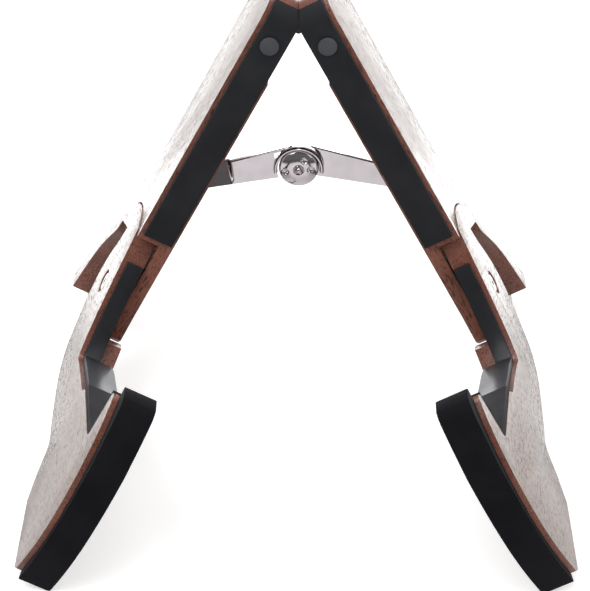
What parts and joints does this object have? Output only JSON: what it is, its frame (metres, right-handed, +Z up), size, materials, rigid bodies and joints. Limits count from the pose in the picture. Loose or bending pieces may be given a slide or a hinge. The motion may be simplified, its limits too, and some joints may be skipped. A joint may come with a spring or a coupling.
{
  "type": "folding guitar stand",
  "caption": "Folding wooden A-frame guitar stand with hinged sides, a lid stay and padded cradle arms that turn up to fold.",
  "frame": {"origin": "middle of the bounding box at floor level, where the feet rest", "axes": "+Z up, -Y to the front where the hooks are, X across; the two sides mirror each other in X"},
  "size_m": [0.2824, 0.312, 0.2472],
  "materials": {
    "wood": "oiled reddish-brown hardwood, open grain",
    "foam": "matte black closed-cell foam",
    "bumper": "matte dark grey",
    "chrome": "polished",
    "hinge": "black",
    "steel": "zinc plated",
    "fibre": "dark fibre",
    "brass": "plain"
  },
  "bodies": {
    "left_side": {"left_board_foam": "foam", "left_bumper": "bumper", "left_friction_washer": "fibre", "left_hinge_leaf": "hinge", "left_leaf_screw_1": "steel", "left_leaf_screw_2": "steel", "left_leaf_screw_3": "steel", "left_leaf_screw_4": "steel", "left_leaf_screw_5": "steel", "left_leaf_screw_6": "steel", "left_pivot_bolt": "steel", "left_pivot_washer": "steel", "left_side_board": "wood", "left_stay_pin": "steel", "left_threaded_insert": "brass", "hinge_pin": "steel"},
    "right_side": {"right_board_foam": "foam", "right_bumper": "bumper", "right_friction_washer": "fibre", "right_hinge_leaf": "hinge", "right_leaf_screw_1": "steel", "right_leaf_screw_2": "steel", "right_leaf_screw_3": "steel", "right_leaf_screw_4": "steel", "right_leaf_screw_5": "steel", "right_leaf_screw_6": "steel", "right_pivot_bolt": "steel", "right_pivot_washer": "steel", "right_side_board": "wood", "right_stay_pin": "steel", "right_threaded_insert": "brass"},
    "left_arm": {"left_support_arm": "wood", "left_arm_foam": "foam", "left_cradle_pad": "foam", "left_bow_foam": "foam"},
    "right_arm": {"right_support_arm": "wood", "right_arm_foam": "foam", "right_cradle_pad": "foam", "right_bow_foam": "foam"},
    "left_stay": {"left_stay_link": "chrome", "stay_hub_front": "chrome", "stay_rivet": "chrome"},
    "right_stay": {"right_stay_link": "chrome", "stay_hub_back": "chrome"}
  },
  "joints": [
    {"name": "top_hinge", "type": "hinge", "parent": "left_side", "child": "right_side", "pos_m": [0, 0.049, 0.22887], "axis": [0, 1, 0], "range_deg": [0, 54]},
    {"name": "left_arm_swing", "type": "hinge", "parent": "left_side", "child": "left_arm", "pos_m": [-0.09036, 0.049, 0.05946], "axis": [-0.8829, 0, 0.4695], "range_deg": [0, 62]},
    {"name": "right_arm_swing", "type": "hinge", "parent": "right_side", "child": "right_arm", "pos_m": [0.09036, 0.049, 0.05946], "axis": [-0.8829, 0, -0.4695], "range_deg": [0, 62]},
    {"name": "left_stay_turn", "type": "hinge", "parent": "left_side", "child": "left_stay", "pos_m": [-0.06045, 0.053, 0.1285], "axis": [0, -1, 0], "range_deg": [0, 45.66]},
    {"name": "right_stay_turn", "type": "hinge", "parent": "right_side", "child": "right_stay", "pos_m": [0.06045, 0.053, 0.1285], "axis": [0, 1, 0], "range_deg": [0, 45.66]}
  ],
  "couplings": [
    {"joint": "left_stay_turn", "follows": "top_hinge", "ratio": 0.84535},
    {"joint": "right_stay_turn", "follows": "top_hinge", "ratio": 0.84535}
  ]
}
